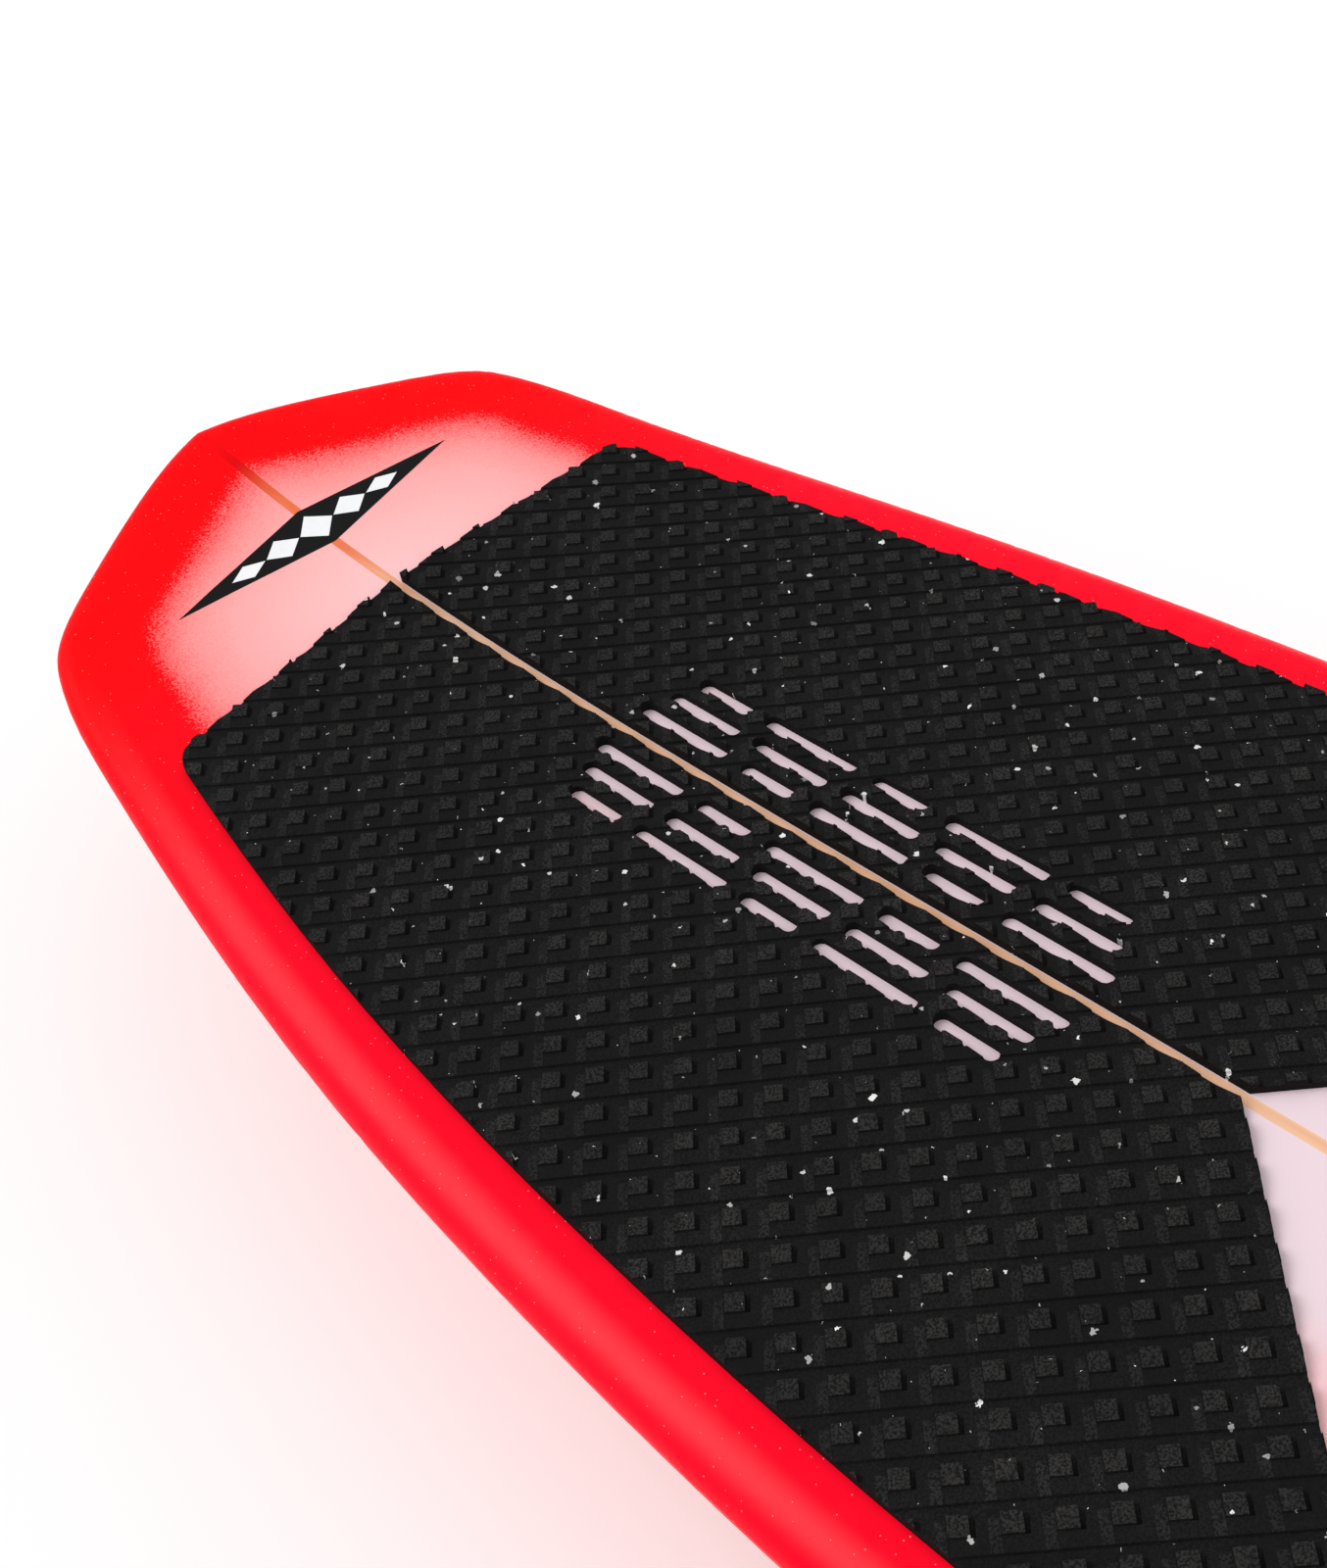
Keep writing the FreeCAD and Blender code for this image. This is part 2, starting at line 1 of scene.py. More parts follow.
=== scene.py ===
"""Looks of the short deck-padded water board: painted skins, milled foam pads, nose decal and fittings.

Metres, in the row frame: +Y runs to the nose, +X to the rider's right, +Z up.
"""
import math

import bmesh
import bpy
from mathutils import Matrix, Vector
from mathutils.bvhtree import BVHTree


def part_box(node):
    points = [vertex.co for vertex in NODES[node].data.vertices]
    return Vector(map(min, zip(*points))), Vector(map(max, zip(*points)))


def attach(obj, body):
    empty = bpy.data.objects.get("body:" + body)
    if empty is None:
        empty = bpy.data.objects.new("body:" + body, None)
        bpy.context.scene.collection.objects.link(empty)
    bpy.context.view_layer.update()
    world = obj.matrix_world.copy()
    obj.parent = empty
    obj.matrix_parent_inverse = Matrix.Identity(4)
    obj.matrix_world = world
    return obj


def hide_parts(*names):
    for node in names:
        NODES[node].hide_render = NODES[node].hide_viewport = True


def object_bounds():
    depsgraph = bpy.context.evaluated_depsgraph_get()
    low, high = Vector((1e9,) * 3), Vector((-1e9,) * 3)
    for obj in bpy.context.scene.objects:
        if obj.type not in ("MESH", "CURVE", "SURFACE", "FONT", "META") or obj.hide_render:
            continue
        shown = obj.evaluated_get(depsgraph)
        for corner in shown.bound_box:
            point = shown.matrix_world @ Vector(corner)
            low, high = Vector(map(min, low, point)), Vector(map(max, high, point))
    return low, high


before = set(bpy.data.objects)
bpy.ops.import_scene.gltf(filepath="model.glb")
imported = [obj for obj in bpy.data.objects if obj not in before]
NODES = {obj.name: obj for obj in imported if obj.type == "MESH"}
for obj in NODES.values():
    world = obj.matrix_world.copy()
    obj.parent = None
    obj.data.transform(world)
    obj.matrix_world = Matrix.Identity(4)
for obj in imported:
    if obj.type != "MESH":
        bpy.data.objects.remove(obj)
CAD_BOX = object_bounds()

MM = 0.001
LOW, HIGH = CAD_BOX
NOSE_Y = HIGH.y
TAIL_Y = LOW.y
HALF_WIDTH = HIGH.x
STRINGER_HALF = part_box("stringer")[1].x


# --- node helpers ------------------------------------------------------------------------------
def srgb(red, green, blue):
    """A linear colour from 0 to 255 display values."""
    linear = [((c / 255 + 0.055) / 1.055) ** 2.4 if c > 10 else c / 255 / 12.92 for c in (red, green, blue)]
    return (*linear, 1.0)


def add(tree, kind, inputs=None, **settings):
    """A node of this kind, with its settings and its input values or links."""
    made = tree.nodes.new(f"ShaderNode{kind}")
    for name, value in settings.items():
        setattr(made, name, value)
    for key, value in (inputs or {}).items():
        if isinstance(value, bpy.types.NodeSocket):
            tree.links.new(value, made.inputs[key])
        else:
            made.inputs[key].default_value = value
    return made


def calc(tree, operation, *values):
    """The result of a Math node."""
    return add(tree, "Math", dict(enumerate(values)), operation=operation).outputs[0]


def minus(tree, first, second):
    """The first value less the second."""
    return calc(tree, "SUBTRACT", first, second)


def times(tree, first, second):
    """The product of two values."""
    return calc(tree, "MULTIPLY", first, second)


def span(tree, value, start, end, low=0.0, high=1.0):
    """A value that goes smoothly from low to high while the input goes from start to end."""
    inputs = {"Value": value, "From Min": start, "From Max": end, "To Min": low, "To Max": high}
    return add(tree, "MapRange", inputs, interpolation_type="SMOOTHSTEP").outputs["Result"]


def mix(tree, factor, first, second, blend="MIX"):
    """A mix of two colours."""
    made = add(tree, "Mix", {0: factor, 6: first, 7: second}, data_type="RGBA", blend_type=blend)
    return made.outputs[2]


def ramp(tree, factor, stops):
    """A colour ramp with these (place, colour) stops."""
    made = add(tree, "ValToRGB", {"Fac": factor})
    elements = made.color_ramp.elements
    while len(elements) < len(stops):
        elements.new(0.5)
    for element, (place, colour) in zip(elements, stops):
        element.position = place
        element.color = colour
    return made.outputs["Color"]


def noise(tree, place, size, detail=3.0, stretch=(1.0, 1.0, 1.0)):
    """Noise between 0 and 1, with features about this many metres across."""
    scaled = add(tree, "Mapping", {"Vector": place, "Scale": stretch}).outputs["Vector"]
    inputs = {"Vector": scaled, "Scale": 1 / size, "Detail": detail}
    return add(tree, "TexNoise", inputs).outputs["Fac"]


def spots(tree, place, scale, feature="F1", **settings):
    """A Voronoi node, with this many cells in a metre."""
    return add(tree, "TexVoronoi", {"Vector": place, "Scale": scale}, feature=feature, **settings)


def bump(tree, height, depth):
    """A normal from a height between 0 and 1, this many metres deep."""
    return add(tree, "Bump", {"Height": height, "Distance": depth}).outputs["Normal"]


def start_material(name):
    """A new node material: its material, tree, shader and object coordinates."""
    material = bpy.data.materials.new(name)
    material.use_nodes = True
    tree = material.node_tree
    place = add(tree, "TexCoord").outputs["Object"]
    return material, tree, tree.nodes["Principled BSDF"], place


def plug(tree, shader, **sockets):
    """Sets or links the shader's sockets; a double underscore stands for a space."""
    for name, value in sockets.items():
        socket = shader.inputs[name.replace("__", " ")]
        if isinstance(value, bpy.types.NodeSocket):
            tree.links.new(value, socket)
        else:
            socket.default_value = value


# --- paint -------------------------------------------------------------------------------------
RED = srgb(254, 0, 8)
CRIMSON_TINT = srgb(1, 1, 33)           # added to the red away from the nose
PALE_PINK = srgb(250, 194, 194)
PALE_DECK = srgb(232, 210, 215)
SHOULDER_HIGHLIGHT = 0.06                    # how far the painted highlight on the rail's shoulder goes to pink

FADE_SPAN = 0.2                         # distance from the edge that the colour ramp covers
FADE = [(0.041, RED), (0.048, srgb(255, 104, 104)), (0.060, srgb(255, 146, 145)),
        (0.080, srgb(254, 170, 169)), (0.110, srgb(253, 184, 183)), (0.140, PALE_PINK),
        (0.168, PALE_DECK)]             # distance from the edge, and the colour there
FADE_DRIFT = 0.012                      # how far the fade wanders
SPRAY_SPREAD = 0.028                    # how far the spray's specks scatter

FADE_LEAN = 0.005                       # the fade is sprayed this far to the right of the stringer
RAIL_INSET = 0.004                      # the sprayed rail line, inside the widest point
WIDEST_Y = 0.03
NARROWING_SPAN = 0.5                    # from the widest point to where the rail line has come in ...
NARROWING = 0.060                       # ... by this much
NOSE_SLOPE = 0.46                       # fall of the nose line, per distance from the stringer
NOSE_COSINE = 0.91                      # of that slope's angle
NOSE_REACH = 0.007                      # the nose line meets the stringer this far past the tip
TAIL_SLOPE = 0.15
CORNER_SOFTNESS = 0.03                  # rounding where the rail, nose and tail lines meet


def edge_distance(tree, place):
    """How far inside the sprayed outline a point of the hull is, and how far from the stringer."""
    split = add(tree, "SeparateXYZ", {0: place})
    along = split.outputs["Y"]
    side = calc(tree, "ABSOLUTE", split.outputs["X"])
    sprayed_side = calc(tree, "ABSOLUTE", minus(tree, split.outputs["X"], FADE_LEAN))
    past_widest = calc(tree, "DIVIDE", minus(tree, along, WIDEST_Y), NARROWING_SPAN)
    narrowed = times(tree, times(tree, past_widest, past_widest), NARROWING)
    rail = minus(tree, minus(tree, HALF_WIDTH - RAIL_INSET, narrowed), sprayed_side)
    to_nose = minus(tree, NOSE_Y + NOSE_REACH, along)
    nose = times(tree, minus(tree, to_nose, times(tree, side, NOSE_SLOPE)), NOSE_COSINE)
    tail = minus(tree, minus(tree, along, TAIL_Y), times(tree, side, TAIL_SLOPE))
    near = calc(tree, "SMOOTH_MIN", rail, nose, CORNER_SOFTNESS)
    return calc(tree, "SMOOTH_MIN", near, tail, CORNER_SOFTNESS), side


def faded_colour(tree, place, distance):
    """The airbrushed fade, with specks of bare pink in it."""
    drift = times(tree, minus(tree, noise(tree, place, 0.05, 2.0), 0.5), FADE_DRIFT)
    spray = times(tree, minus(tree, noise(tree, place, 0.0011, 2.0), 0.5), SPRAY_SPREAD)
    reach = calc(tree, "ADD", calc(tree, "ADD", distance, drift), spray)
    stops = [(inside / FADE_SPAN, shade) for inside, shade in FADE]
    colour = ramp(tree, calc(tree, "DIVIDE", reach, FADE_SPAN), stops)
    dust = span(tree, spots(tree, place, 260.0).outputs["Distance"], 0.05, 0.10, 0.35, 0.0)
    return mix(tree, dust, colour, PALE_PINK)


def rail_colour(tree, place, distance, colour):
    """The colour with the crimson tint behind the nose and a painted highlight on the rail's shoulder."""
    along = add(tree, "SeparateXYZ", {0: place}).outputs["Y"]
    behind_nose = span(tree, along, 0.62, 0.40)
    tinted = mix(tree, behind_nose, colour, CRIMSON_TINT, "ADD")
    # painted highlight: a pale band along the rail's shoulder that stands in for the light on it
    rising = span(tree, distance, -0.006, 0.004)
    falling = span(tree, distance, 0.004, 0.014, SHOULDER_HIGHLIGHT, 0.0)
    shoulder_highlight = times(tree, times(tree, rising, falling), behind_nose)
    return mix(tree, shoulder_highlight, tinted, PALE_PINK)


def strip_colour(tree, place, distance):
    """The wood strip as it shows through the laminate: blond, pinker under the fade, red under the red."""
    grain = noise(tree, place, 0.004, 4.0, (1.0, 0.03, 1.0))
    blond = ramp(tree, grain, [(0.25, srgb(243, 198, 166)), (0.75, srgb(226, 168, 130))])
    under_pink = mix(tree, 1.0, blond, srgb(255, 165, 132), "MULTIPLY")
    under_red = mix(tree, span(tree, distance, 0.012, 0.045), RED, srgb(214, 0, 8))
    strip = mix(tree, span(tree, distance, 0.10, 0.17), under_pink, blond)
    return mix(tree, span(tree, distance, 0.035, 0.075), under_red, strip)


def paint_material(name):
    """Airbrushed laminate: red rails that fade inwards to a pale pink deck, with the wood strip showing."""
    material, tree, shader, place = start_material(name)
    distance, side = edge_distance(tree, place)
    colour = rail_colour(tree, place, distance, faded_colour(tree, place, distance))
    on_strip = span(tree, side, STRINGER_HALF - 0.2 * MM, STRINGER_HALF + 0.4 * MM, 1.0, 0.0)
    colour = mix(tree, on_strip, colour, strip_colour(tree, place, distance))
    rough = span(tree, noise(tree, place, 0.02, 3.0), 0.3, 0.7, 0.34, 0.44)
    texture = noise(tree, place, 0.0015, 3.0)
    plug(tree, shader, Base__Color=colour, Roughness=rough, Normal=bump(tree, texture, 0.06 * MM))
    plug(tree, shader, Specular__IOR__Level=0.05)
    return material


# --- foam --------------------------------------------------------------------------------------
PORE_BLACK = srgb(18, 17, 17)
FLECK_CELLS = 75.0                      # places for a fleck, in a metre
FLECK_MISSING = 0.38                    # share of the places that stay empty
FLECK_SMALLEST = 0.015                  # radius, as a share of a place
FLECK_LARGEST = 0.1
FLECK_RAGGED = 3.2 * MM                 # how far the flecks' outlines are bent
GREY_FLECK = srgb(120, 118, 116)
WHITE_FLECK = srgb(236, 236, 234)


def flecked(tree, place, colour):
    """The colour with ragged pale flecks scattered through it."""
    warp = add(tree, "TexNoise", {"Vector": place, "Scale": 600.0, "Detail": 2.0}).outputs["Color"]
    bent = add(tree, "VectorMath", {0: warp, "Scale": FLECK_RAGGED}, operation="SCALE").outputs[0]
    where = add(tree, "VectorMath", {0: place, 1: bent}, operation="ADD").outputs[0]
    cells = spots(tree, where, FLECK_CELLS, voronoi_dimensions="2D")
    chance = add(tree, "SeparateColor", {0: cells.outputs["Color"]})
    chosen = calc(tree, "GREATER_THAN", chance.outputs["Red"], FLECK_MISSING)
    rarely_large = calc(tree, "POWER", chance.outputs["Green"], 3.0)
    radius = span(tree, rarely_large, 0.0, 1.0, FLECK_SMALLEST, FLECK_LARGEST)
    inside = calc(tree, "LESS_THAN", cells.outputs["Distance"], radius)
    pale = mix(tree, chance.outputs["Blue"], GREY_FLECK, WHITE_FLECK)
    return mix(tree, times(tree, inside, chosen), colour, pale)


def foam_material(name, dark, light):
    """Black closed-cell foam: matt, finely pitted, with scattered pale flecks caught in it."""
    material, tree, shader, place = start_material(name)
    cloud = noise(tree, place, 0.045, 4.0)
    pores = noise(tree, place, 0.0009, 2.0)
    base = ramp(tree, cloud, [(0.3, dark), (0.7, light)])
    pitted = mix(tree, span(tree, pores, 0.35, 0.65), base, PORE_BLACK)
    plug(tree, shader, Base__Color=flecked(tree, place, pitted), Roughness=0.85)
    plug(tree, shader, Specular__IOR__Level=0.08, Normal=bump(tree, pores, 0.12 * MM))
    return material


# --- other materials ---------------------------------------------------------------------------
def decal_material(name, light, dark):
    """Printed decal film: two close tones and a slight orange-peel gloss."""
    material, tree, shader, place = start_material(name)
    colour = mix(tree, noise(tree, place, 0.006, 3.0), dark, light)
    rough = span(tree, noise(tree, place, 0.01), 0.3, 0.7, 0.32, 0.42)
    peel = noise(tree, place, 0.002)
    plug(tree, shader, Base__Color=colour, Roughness=rough, Normal=bump(tree, peel, 0.03 * MM))
    plug(tree, shader, Specular__IOR__Level=0.08)
    return material


def composite_material(name):
    """Pressed glass-fibre fin: dark resin with a fine crossed weave under a satin surface."""
    material, tree, shader, place = start_material(name)
    bands = []
    for axis in ("Y", "Z"):
        inputs = {"Vector": place, "Scale": 210.0, "Distortion": 0.4}
        bands.append(add(tree, "TexWave", inputs, bands_direction=axis).outputs["Fac"])
    weave = times(tree, *bands)
    cloud = noise(tree, place, 0.03, 4.0)
    base = ramp(tree, cloud, [(0.3, srgb(18, 19, 21)), (0.7, srgb(28, 29, 32))])
    colour = mix(tree, times(tree, weave, 0.3), base, srgb(56, 58, 62))
    rough = span(tree, cloud, 0.3, 0.7, 0.28, 0.40)
    plug(tree, shader, Base__Color=colour, Roughness=rough, Normal=bump(tree, weave, 0.04 * MM))
    plug(tree, shader, Specular__IOR__Level=0.25)
    return material


def plastic_material(name, light, dark):
    """Moulded plastic with a fine spark-eroded grain."""
    material, tree, shader, place = start_material(name)
    colour = ramp(tree, noise(tree, place, 0.008, 4.0), [(0.3, dark), (0.7, light)])
    grain = noise(tree, place, 0.0005, 2.0)
    rough = span(tree, grain, 0.3, 0.7, 0.42, 0.55)
    plug(tree, shader, Base__Color=colour, Roughness=rough, Normal=bump(tree, grain, 0.05 * MM))
    return material


def steel_material(name):
    """Stainless steel with fine turning marks."""
    material, tree, shader, place = start_material(name)
    marks = noise(tree, place, 0.0006, 3.0, (1.0, 1.0, 6.0))
    colour = ramp(tree, marks, [(0.3, srgb(168, 170, 172)), (0.7, srgb(206, 207, 208))])
    rough = span(tree, marks, 0.3, 0.7, 0.24, 0.38)
    plug(tree, shader, Base__Color=colour, Roughness=rough, Normal=bump(tree, marks, 0.02 * MM))
    plug(tree, shader, Metallic=1.0)
    return material


def core_material(name):
    """White bead foam: round beads with darker joints."""
    material, tree, shader, place = start_material(name)
    beads = spots(tree, place, 260.0, feature="DISTANCE_TO_EDGE")
    joint = span(tree, beads.outputs["Distance"], 0.0, 0.12)
    colour = mix(tree, joint, srgb(206, 204, 196), srgb(242, 240, 234))
    plug(tree, shader, Base__Color=colour, Roughness=0.85, Normal=bump(tree, joint, 0.2 * MM))
    return material


def wood_material(name):
    """Blond stringer wood with long grain."""
    material, tree, shader, place = start_material(name)
    grain = noise(tree, place, 0.004, 5.0, (1.0, 0.03, 1.0))
    stops = [(0.25, srgb(238, 205, 168)), (0.6, srgb(222, 172, 126)), (0.85, srgb(186, 128, 84))]
    rough = span(tree, grain, 0.3, 0.7, 0.5, 0.65)
    plug(tree, shader, Base__Color=ramp(tree, grain, stops), Roughness=rough)
    plug(tree, shader, Normal=bump(tree, grain, 0.1 * MM))
    return material


PAINT = paint_material("painted_laminate")
FOAM = foam_material("deck_foam", srgb(21, 20, 20), srgb(31, 30, 30))
# a lighter copy of the foam, painted light on the raised squares' tops
FOAM_LIT_TOP = foam_material("deck_foam_lit_top", srgb(40, 39, 39), srgb(51, 50, 49))
# a lighter copy of the foam, painted light on the strips that face the light
FOAM_LIT_STRIP = foam_material("deck_foam_lit_strip", srgb(34, 33, 33), srgb(45, 44, 45))
BLACK_FILM = decal_material("black_film", srgb(20, 19, 20), srgb(10, 10, 11))
WHITE_FILM = decal_material("white_film", srgb(246, 246, 248), srgb(232, 233, 236))
COMPOSITE = composite_material("pressed_composite")
BLACK_PLASTIC = plastic_material("black_plastic", srgb(44, 44, 46), srgb(32, 32, 34))
STEEL = steel_material("stainless_steel")
CORE = core_material("bead_foam")
WOOD = wood_material("stringer_wood")

# the material of a CAD node, by the first of these that its name starts with
CAD_MATERIALS = {"deck_laminate": PAINT, "bottom_laminate": PAINT, "stringer": WOOD, "foam_core": CORE,
                 "fin_plug": BLACK_PLASTIC, "fin_screw": STEEL, "fin_": COMPOSITE,
                 "leash_cup": BLACK_PLASTIC, "leash_pin": STEEL, "": FOAM}
for node_name, node in NODES.items():
    material_choice = next(CAD_MATERIALS[start] for start in CAD_MATERIALS if node_name.startswith(start))
    for index in range(len(node.data.materials)):
        node.data.materials[index] = material_choice


# --- meshes ------------------------------------------------------------------------------------
HIGH_ABOVE = 1.0                        # where rays on the board start
WELD = 0.002 * MM                       # points of a CAD mesh this close are one


def surface_of(node_name):
    """A search tree over a CAD node's faces."""
    mesh = NODES[node_name].data
    return BVHTree.FromPolygons([v.co for v in mesh.vertices], [p.vertices for p in mesh.polygons])


DECK = surface_of("deck_laminate")
KICK = surface_of("tail_kick")


def hit_from_above(surface, x, y):
    """Where a ray from above meets the surface, or None."""
    return surface.ray_cast(Vector((x, y, HIGH_ABOVE)), Vector((0, 0, -1)))[0]


def deck_height(x, y):
    """Height of the deck's skin at this place, or of its nearest point beyond the rail."""
    hit = hit_from_above(DECK, x, y)
    return hit.z if hit else DECK.find_nearest(Vector((x, y, HIGH.z)))[0].z


def mesh_object(name, points, faces, *materials):
    """A new mesh object of these points and faces."""
    mesh = bpy.data.meshes.new(name)
    mesh.from_pydata(points, [], faces)
    mesh.validate()
    made = bpy.data.objects.new(name, mesh)
    bpy.context.scene.collection.objects.link(made)
    for material in materials:
        mesh.materials.append(material)
    return made


def face_outwards(piece):
    """Turns the faces of a closed mesh outwards."""
    shape = bmesh.new()
    shape.from_mesh(piece.data)
    bmesh.ops.recalc_face_normals(shape, faces=shape.faces)
    shape.to_mesh(piece.data)
    shape.free()


def applied(piece):
    """Replaces the piece's mesh by the result of its modifiers."""
    evaluated = piece.evaluated_get(bpy.context.evaluated_depsgraph_get())
    mesh = bpy.data.meshes.new_from_object(evaluated)
    piece.modifiers.clear()
    piece.data = mesh
    return piece


def welded_copy(node_name):
    """A closed copy of a CAD node's mesh."""
    mesh = NODES[node_name].data.copy()
    shape = bmesh.new()
    shape.from_mesh(mesh)
    bmesh.ops.remove_doubles(shape, verts=shape.verts, dist=WELD)
    shape.to_mesh(mesh)
    shape.free()
    if mesh.has_custom_normals:
        mesh.normals_split_custom_set([(0, 0, 0)] * len(mesh.loops))
    made = bpy.data.objects.new(f"{node_name}_copy", mesh)
    bpy.context.scene.collection.objects.link(made)
    return made


def cut(piece, tool, operation):
    """Applies an exact boolean with a tool, which is then deleted."""
    step = piece.modifiers.new("cut", "BOOLEAN")
    step.operation = operation
    step.object = tool
    step.solver = "EXACT"
    applied(piece)
    bpy.data.objects.remove(tool)


def stand_in_pad(piece, node_name):
    """Makes the piece the board's foam pad that is shown in a CAD node's place."""
    for polygon in piece.data.polygons:
        polygon.use_smooth = False
    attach(piece, "board")
    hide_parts(node_name)


# --- milled relief of the deck pads ------------------------------------------------------------
PITCH = 17.3 * MM                       # side of one square cell, at 45 degrees to the stringer
CELL_X = -89.3 * MM                     # a corner of the lattice
CELL_Y = 468.7 * MM

# heights above the deck
SQUARE_TOP = 5.9 * MM                   # the raised squares
GROOVE_FLOOR = 3.2 * MM
RAMP_START = 3.4 * MM                   # the ramp between the squares, just past the groove
CREST = 4.9 * MM                        # the ramp at its highest, level with the squares' far edge
RAMP_END = 4.2 * MM                     # the ramp where it drops into the next groove
STRIP_RISE = 0.9 * MM                   # how far the ramp tilts up towards the raised squares
UNDERSIDE = -2.0 * MM                   # below the deck, so that the CAD pad gives the pad's underside

# lattice lines across the ramp, as shares of the pitch
STRIP_END = 0.025
SQUARE_START = 0.045
SQUARE_END = 0.46
SLIT_START = 0.475                      # the narrow cut beside each raised square
SLIT_END = 0.555
RAMP_SIDE = 0.57
STRIP_START = 0.80
U_LINES = [STRIP_END, SQUARE_START, SQUARE_END, SLIT_START, SLIT_END, RAMP_SIDE, STRIP_START]

# lattice lines along the ramp, as shares of the pitch
RAMP_DROP = 0.28
GROOVE_START = 0.31
GROOVE_END = 0.525
SQUARE_FRONT = 0.54
RAMP_FOOT = 0.60
SQUARE_BACK = 0.965
CREST_LINE = 0.98
V_LINES = [RAMP_DROP, GROOVE_START, GROOVE_END, SQUARE_FRONT, RAMP_FOOT, SQUARE_BACK, CREST_LINE]
RAMP = [(GROOVE_END, GROOVE_FLOOR), (RAMP_FOOT, RAMP_START), (CREST_LINE, CREST), (RAMP_DROP + 1, RAMP_END)]

LIT_TOP_SLOT = 1                          # material slot of the raised squares' tops, a lighter tone painted for the light on them
LIT_STRIP_SLOT = 2                        # material slot of the strips beside them, a lighter tone painted for the light on them


def plan_place(u, v):
    """Plan position of a lattice point; u runs tail-right, v tail-left."""
    return CELL_X + PITCH * (u - v) / math.sqrt(2), CELL_Y - PITCH * (u + v) / math.sqrt(2)


def lattice_range(low, high):
    """The first and last cell along u and along v that a plan box needs."""
    u_places = []
    v_places = []
    for x in (low.x, high.x):
        for y in (low.y, high.y):
            across = (x - CELL_X) / PITCH
            down = (CELL_Y - y) / PITCH
            u_places.append((down + across) / math.sqrt(2))
            v_places.append((down - across) / math.sqrt(2))
    return [(math.floor(min(places)) - 1, math.ceil(max(places)) + 1) for places in (u_places, v_places)]


def lattice_lines(lines, first, last):
    """Every grid line from the first cell to the last, as (cell, place in it)."""
    return [(cell, line) for cell in range(first, last) for line in lines]


def between(value, points):
    """Straight interpolation through (place, level) points."""
    for (start, low), (end, high) in zip(points, points[1:]):
        if value <= end:
            return low + (high - low) * max(0.0, (value - start) / (end - start))
    return points[-1][1]


def relief(u, v):
    """Height of the milled foam over the deck, where two grid lines cross."""
    in_square_row = SQUARE_FRONT <= v <= SQUARE_BACK
    if in_square_row and SQUARE_START <= u <= SQUARE_END:
        return SQUARE_TOP
    in_slit = in_square_row and SLIT_START <= u <= SLIT_END
    if in_slit or GROOVE_START <= v <= GROOVE_END:
        return GROOVE_FLOOR
    past = v if v > GROOVE_END else v + 1
    tilt = max(0.0, (u - STRIP_START) / (1 + STRIP_END - STRIP_START)) if u > STRIP_END else 1.0
    return between(past, RAMP) + STRIP_RISE * tilt * max(0.0, RAMP_DROP + 1 - past)


def lit_slot_of_face(u, v):
    """Material slot of the face that starts at these grid lines: a painted-light tone for a raised square's
    top or a strip, or None for the plain foam.
    """
    if u == SQUARE_START and v in (SQUARE_FRONT, RAMP_FOOT):
        return LIT_TOP_SLOT
    if u == STRIP_START and v >= RAMP_FOOT:
        return LIT_STRIP_SLOT
    return None


def closed_slab(points, top):
    """Points and faces of a slab: its top, an underside below the deck, and the walls between them."""
    count = len(points)
    below = [(x, y, deck_height(x, y) + UNDERSIDE) for x, y, z in points]
    edges = {}
    for face in top:
        edges.update(dict.fromkeys(zip(face, face[1:] + face[:1])))
    walls = [[end, start, start + count, end + count] for start, end in edges if (end, start) not in edges]
    under = [[point + count for point in face[::-1]] for face in top]
    return points + below, top + under + walls


def relief_slab(name, low, high):
    """Closed slab with the milled relief on top, over a plan box."""
    u_cells, v_cells = lattice_range(low, high)
    us = lattice_lines(U_LINES, *u_cells)
    vs = lattice_lines(V_LINES, *v_cells)
    index = {}
    points = []
    top = []
    lit_slots = {}

    def corner(i, j):
        if (i, j) not in index:
            (u_cell, u), (v_cell, v) = us[i], vs[j]
            x, y = plan_place(u_cell + u, v_cell + v)
            index[i, j] = len(points)
            points.append((x, y, deck_height(x, y) + relief(u, v)))
        return index[i, j]

    for i in range(len(us) - 1):
        for j in range(len(vs) - 1):
            x, y = plan_place(sum(us[i]), sum(vs[j]))
            if low.x - PITCH < x < high.x + PITCH and low.y - PITCH < y < high.y + PITCH:
                # the raised squares' tops and the strips get the lighter foam, as painted light
                lit_slots[len(top)] = lit_slot_of_face(us[i][1], vs[j][1])
                top.append([corner(i, j), corner(i, j + 1), corner(i + 1, j + 1), corner(i + 1, j)])
    made = mesh_object(name, *closed_slab(points, top), FOAM, FOAM_LIT_TOP, FOAM_LIT_STRIP)
    for number, material_choice in lit_slots.items():
        made.data.polygons[number].material_index = material_choice or 0
    face_outwards(made)
    return made


def milled_pad(node_name):
    """A deck pad with its milled relief, cut to its CAD solid's outline and slots."""
    low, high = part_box(node_name)
    slab = relief_slab(f"{node_name}_foam", low, high)
    cut(slab, welded_copy(node_name), "INTERSECT")
    stand_in_pad(slab, node_name)


for pad_name in ("front_pad_left", "front_pad_right", "tail_pad_left", "tail_pad_right"):
    milled_pad(pad_name)


# --- tail kick ---------------------------------------------------------------------------------
KICK_GROOVES = 5
KICK_GROOVE_HALF = 2.4 * MM             # half of a groove's width, along the kick's slope
KICK_GROOVE_DEPTH = 1.6 * MM
GROOVED_SHARE = 0.75                    # of the kick's length, from its front
FIRST_GROOVE = 1.2                      # where the first groove is, in spaces between grooves
MEASURED_X = 50 * MM                    # the kick's height is taken this far each side of the stringer
TOOL_SPARE = 1 * MM                     # how far the grooves' cutting tool stands out of the kick


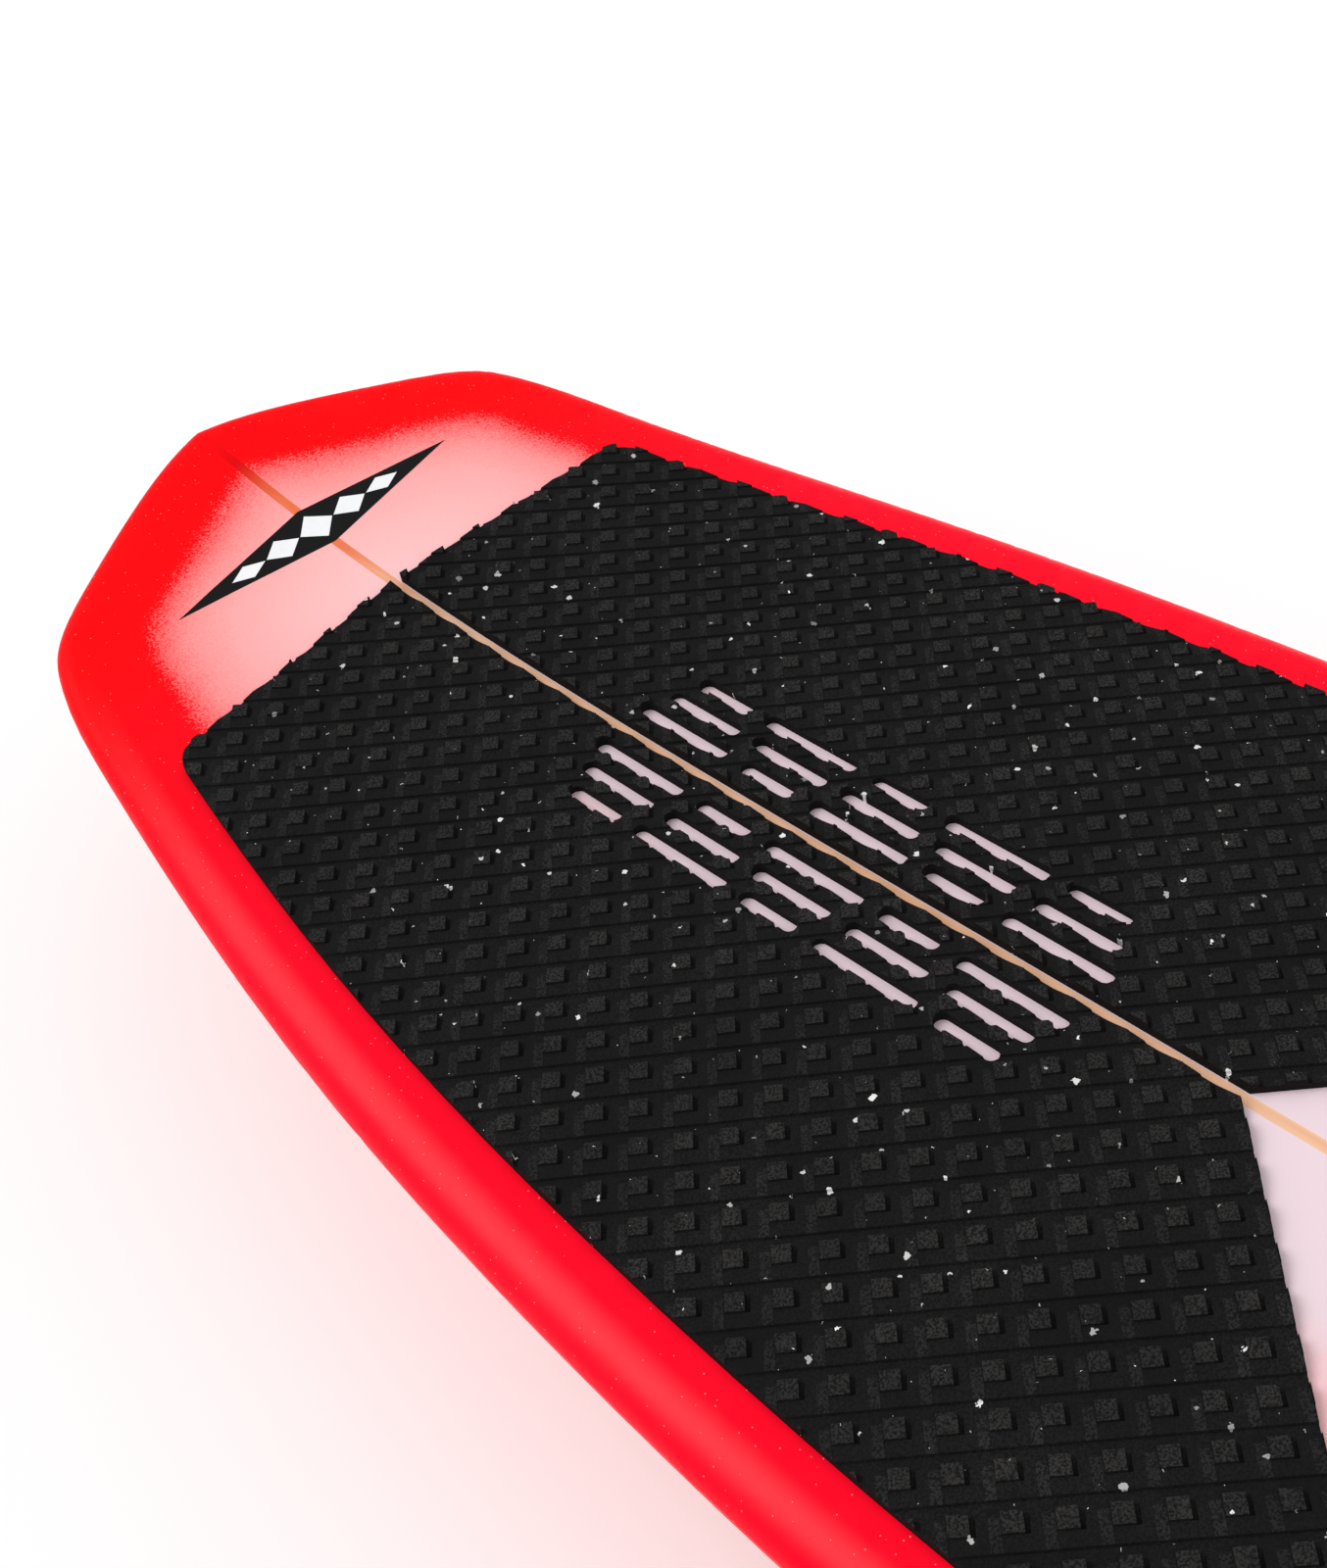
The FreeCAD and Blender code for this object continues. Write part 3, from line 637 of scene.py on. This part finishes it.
def groove_tool(low, high):
    """Triangular bars across the kick, to cut its grooves with."""
    slope = math.atan2(high.z - low.z, high.y - low.y)
    rise = Vector((0, -math.cos(slope), math.sin(slope)))
    inwards = Vector((0, -rise.z, rise.y))
    points = []
    faces = []
    for number in range(KICK_GROOVES):
        share = GROOVED_SHARE * (number + FIRST_GROOVE) / (KICK_GROOVES + 1)
        y = high.y + (low.y - high.y) * share
        z = max(hit_from_above(KICK, x, y).z for x in (-MEASURED_X, MEASURED_X))
        centre = Vector((0, y, z))
        front = centre - rise * KICK_GROOVE_HALF
        back = centre + rise * KICK_GROOVE_HALF
        bottom = centre + inwards * KICK_GROOVE_DEPTH
        for x in (low.x - TOOL_SPARE, high.x + TOOL_SPARE):
            points += [(x, front.y, front.z + TOOL_SPARE), (x, back.y, back.z + TOOL_SPARE),
                       (x, bottom.y, bottom.z)]
        bar = [[0, 1, 2], [5, 4, 3], [0, 3, 4, 1], [1, 4, 5, 2], [2, 5, 3, 0]]
        faces += [[6 * number + corner for corner in face] for face in bar]
    made = mesh_object("kick_grooves", points, faces, FOAM)
    face_outwards(made)
    return made


def tail_kick():
    """The foam stop behind the rear foot, with its cross grooves."""
    kick = welded_copy("tail_kick")
    kick.name = "tail_kick_foam"
    kick.data.materials.clear()
    kick.data.materials.append(FOAM)
    cut(kick, groove_tool(*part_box("tail_kick")), "DIFFERENCE")
    for polygon in kick.data.polygons:
        polygon.material_index = 0
    stand_in_pad(kick, "tail_kick")


tail_kick()


# --- nose decal --------------------------------------------------------------------------------
DECAL_Y = 593 * MM
BAND_LONG = 88 * MM                     # half length of the black band
BAND_WIDE = 15 * MM                     # its half width in the middle
MARK_LONG = 10.5 * MM                   # half length of a white mark
MARK_PITCH = 22 * MM
MARK_SHARE = 0.66                       # a mark's width, as a share of the band's width there
MARKS_EACH_SIDE = 2
FILM_RISE = 0.12 * MM                   # height of the black film over the deck
FILM_TIP = 0.1 * MM                     # half width of the film at a point
FILM_ROWS = 4
FILM_STEPS = 60


def film_lozenge(name, material, middle, half_long, half_wide, rise):
    """Thin printed film in the shape of a lozenge, laid across the deck."""
    points = []
    faces = []
    for step in range(FILM_STEPS + 1):
        share = 2 * step / FILM_STEPS - 1
        x = middle + half_long * share
        half = max(FILM_TIP, half_wide * (1 - abs(share)))
        for row in range(FILM_ROWS + 1):
            y = DECAL_Y + half * (2 * row / FILM_ROWS - 1)
            points.append((x, y, deck_height(x, y) + rise))
    for step in range(FILM_STEPS):
        for row in range(FILM_ROWS):
            here = step * (FILM_ROWS + 1) + row
            beyond = here + FILM_ROWS + 1
            faces.append([here, beyond, beyond + 1, here + 1])
    made = mesh_object(name, points, faces, material)
    thick = made.modifiers.new("film", "SOLIDIFY")
    thick.thickness = FILM_RISE / 2
    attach(applied(made), "board")


film_lozenge("decal_band", BLACK_FILM, 0, BAND_LONG, BAND_WIDE, FILM_RISE)
for number in range(2 * MARKS_EACH_SIDE + 1):
    mark_x = (number - MARKS_EACH_SIDE) * MARK_PITCH
    mark_wide = MARK_SHARE * BAND_WIDE * (1 - abs(mark_x) / BAND_LONG)
    film_lozenge(f"decal_mark_{number + 1}", WHITE_FILM, mark_x, MARK_LONG, mark_wide, 2 * FILM_RISE)


# --- stage, light and camera -------------------------------------------------------------------
FLOOR_Z = -22 * MM                      # low enough for the fins to be pulled out above it
FLOOR_REACH = 12.0
FLOOR_LIGHT = srgb(250, 250, 250)
FLOOR_DARK = srgb(246, 246, 246)
WORLD_STRENGTH = 0.8
KEY_DIRECTION = (1.25, -1.5, -2.6)
KEY_SPREAD = 36                         # degrees
KEY_STRENGTH = 1.25
LENS = 47.53                            # millimetres, on a 36 mm wide sensor
CAMERA_PLACE = (-0.4026, -0.1960, 0.7760)
CAMERA_TURN = (45.01, 8.60, -45.03)     # degrees


def floor_piece():
    """Plain pale floor under the board."""
    corners = [(-1, -1), (1, -1), (1, 1), (-1, 1)]
    points = [(x * FLOOR_REACH, y * FLOOR_REACH, FLOOR_Z) for x, y in corners]
    material, tree, shader, place = start_material("studio_floor")
    tone = mix(tree, noise(tree, place, 0.6, 2.0), FLOOR_LIGHT, FLOOR_DARK)
    plug(tree, shader, Base__Color=tone, Roughness=0.9, Specular__IOR__Level=0.1)
    mesh_object("studio_floor", points, [[0, 1, 2, 3]], material)


def soft_light(name, towards, spread, strength):
    """Even light from a wide patch of the sky, along this direction."""
    data = bpy.data.lights.new(name, "SUN")
    data.angle = math.radians(spread)
    data.energy = strength
    lamp = bpy.data.objects.new(name, data)
    lamp.rotation_euler = Vector(towards).to_track_quat("-Z", "Y").to_euler()
    bpy.context.scene.collection.objects.link(lamp)


def white_world(strength):
    """Even white light from all round."""
    world = bpy.data.worlds.new("studio")
    bpy.context.scene.world = world
    world.use_nodes = True
    background = world.node_tree.nodes["Background"]
    background.inputs["Color"].default_value = (1.0, 1.0, 1.0, 1.0)
    background.inputs["Strength"].default_value = strength


def main_camera():
    """The camera, at the photograph's viewing angle."""
    lens = bpy.data.cameras.new("camera")
    lens.lens = LENS
    lens.sensor_width = 36.0
    camera = bpy.data.objects.new("camera", lens)
    camera.location = CAMERA_PLACE
    camera.rotation_euler = [math.radians(angle) for angle in CAMERA_TURN]
    bpy.context.scene.collection.objects.link(camera)
    bpy.context.scene.camera = camera


floor_piece()
white_world(WORLD_STRENGTH)
soft_light("key", KEY_DIRECTION, KEY_SPREAD, KEY_STRENGTH)
main_camera()
bpy.context.scene.view_settings.view_transform = "Standard"
